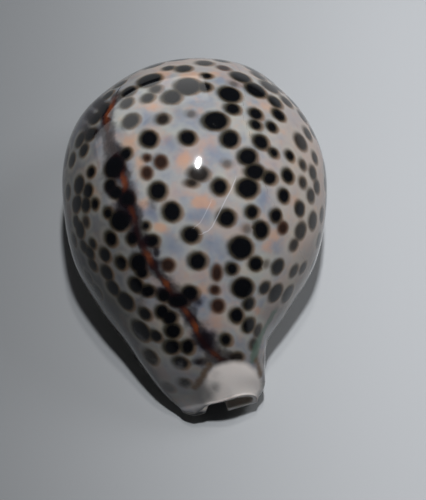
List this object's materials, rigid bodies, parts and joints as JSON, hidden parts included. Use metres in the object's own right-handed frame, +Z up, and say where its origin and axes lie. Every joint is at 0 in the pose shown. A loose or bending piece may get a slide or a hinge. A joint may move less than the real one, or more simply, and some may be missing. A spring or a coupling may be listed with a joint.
{
  "type": "cowrie shell",
  "caption": "Glossy spotted cowrie shell with a domed back, a toothed slit along its base and a short canal at each end.",
  "frame": {"origin": "centre of the bounding box in plan, on the plane that the shell lies on", "axes": "+Z up through the back, +Y along the shell towards the spire end, -Y towards the front canal, +X towards the inner lip side, -X towards the outer lip side"},
  "size_m": [0.0632, 0.0848, 0.0456],
  "materials": {
    "glazed_enamel": "polished natural shell enamel, grey-lavender with dark brown spots on the back"
  },
  "bodies": {
    "root": {"shell": "glazed_enamel"}
  },
  "joints": []
}
